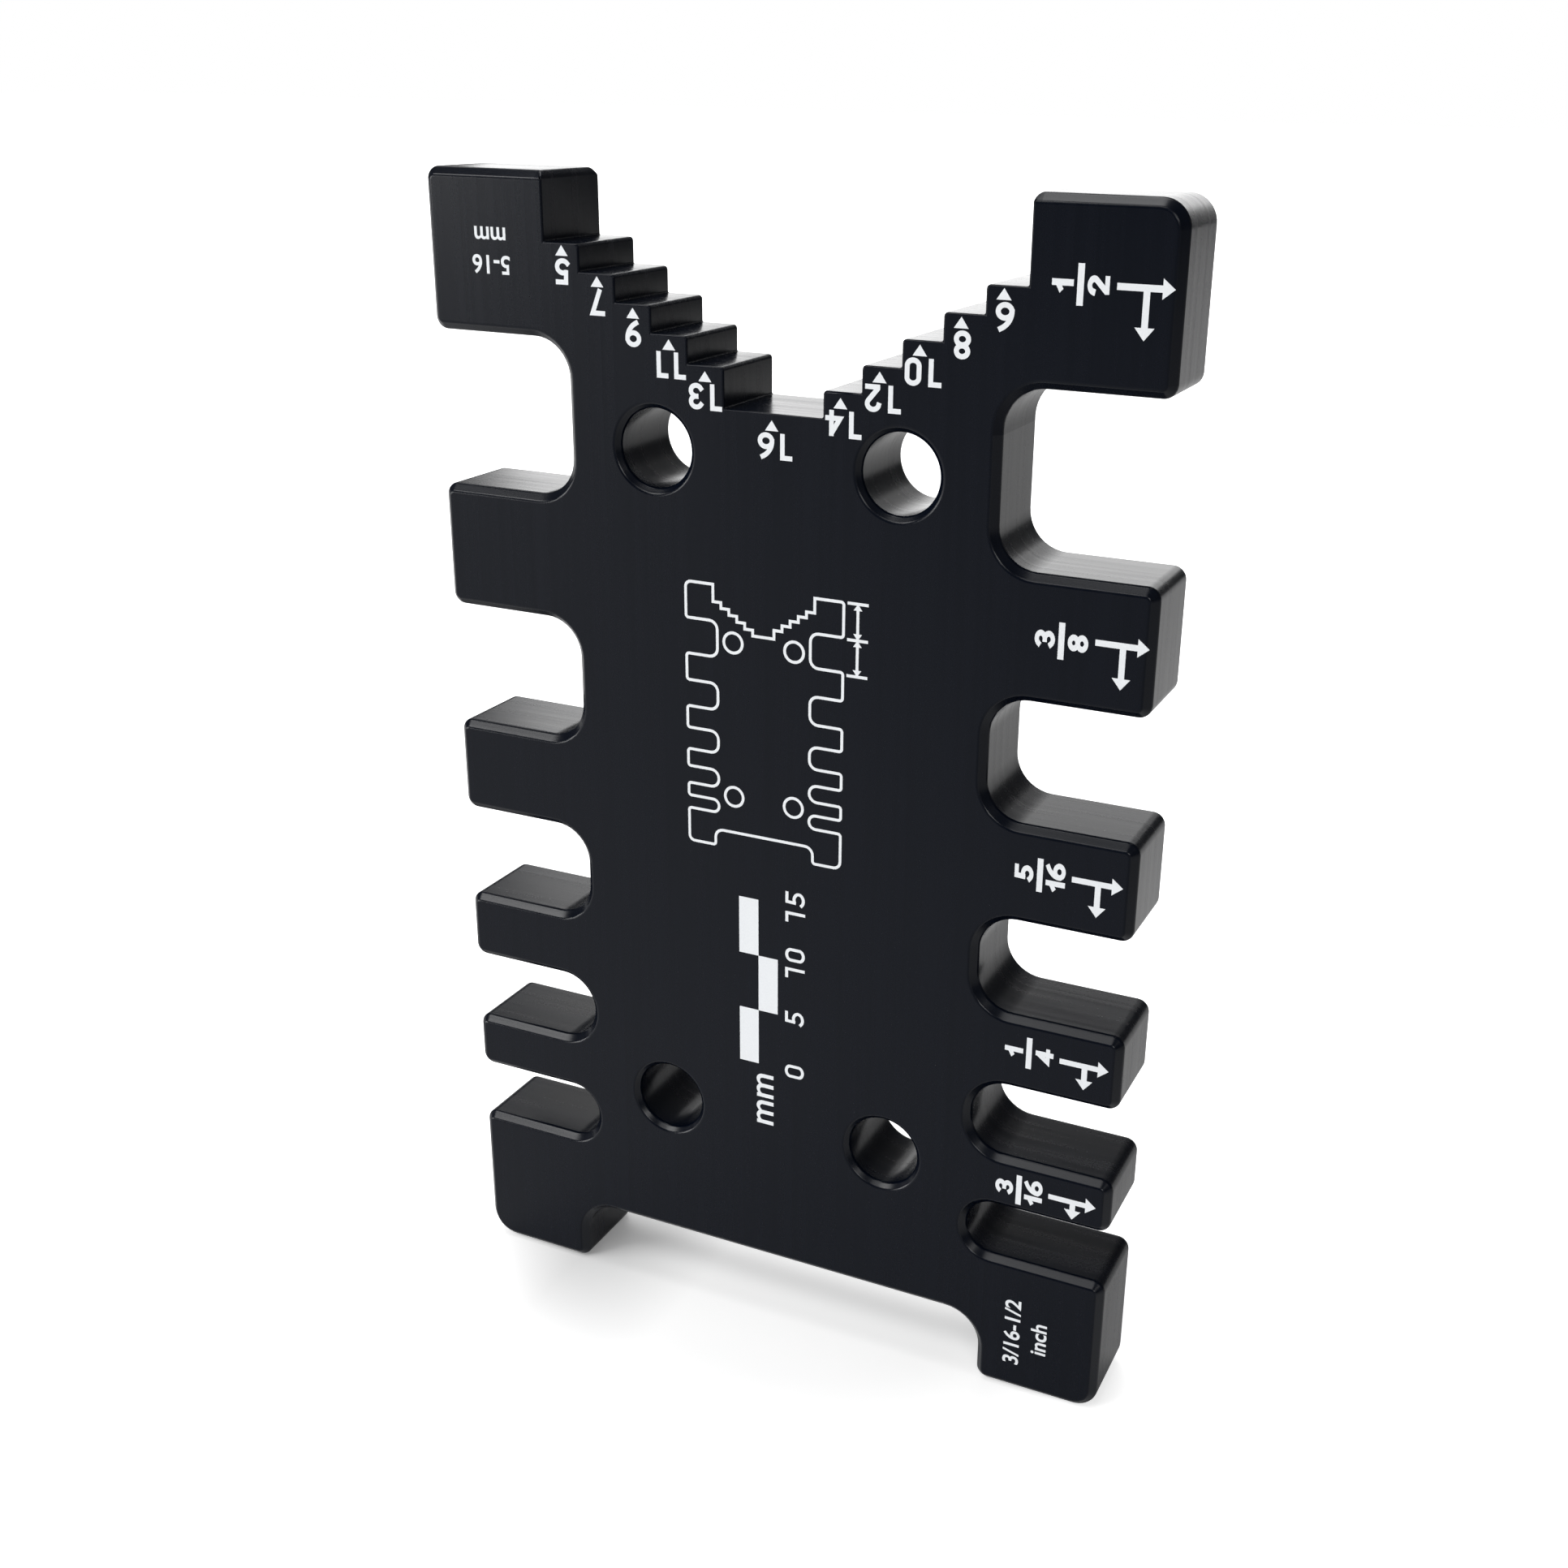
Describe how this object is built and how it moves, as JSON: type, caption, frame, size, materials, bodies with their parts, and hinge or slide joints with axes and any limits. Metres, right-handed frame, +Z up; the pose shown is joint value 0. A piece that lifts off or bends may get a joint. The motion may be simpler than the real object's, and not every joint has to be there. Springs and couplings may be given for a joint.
{
  "type": "woodworking height gauge",
  "caption": "Flat metal plate on two feet with square teeth and slots in inch and millimetre sizes down its edges and a stepped notch in its top, for setting tool heights and depths.",
  "frame": {"origin": "on the floor, under the middle of the plate's width and thickness", "axes": "+X to the inch side, +Y to the back, +Z up from the feet to the arms"},
  "size_m": [0.059, 0.008, 0.095],
  "materials": {
    "gauge_plate": "black anodised, satin"
  },
  "bodies": {
    "root": {"gauge_plate": "gauge_plate"}
  },
  "joints": []
}
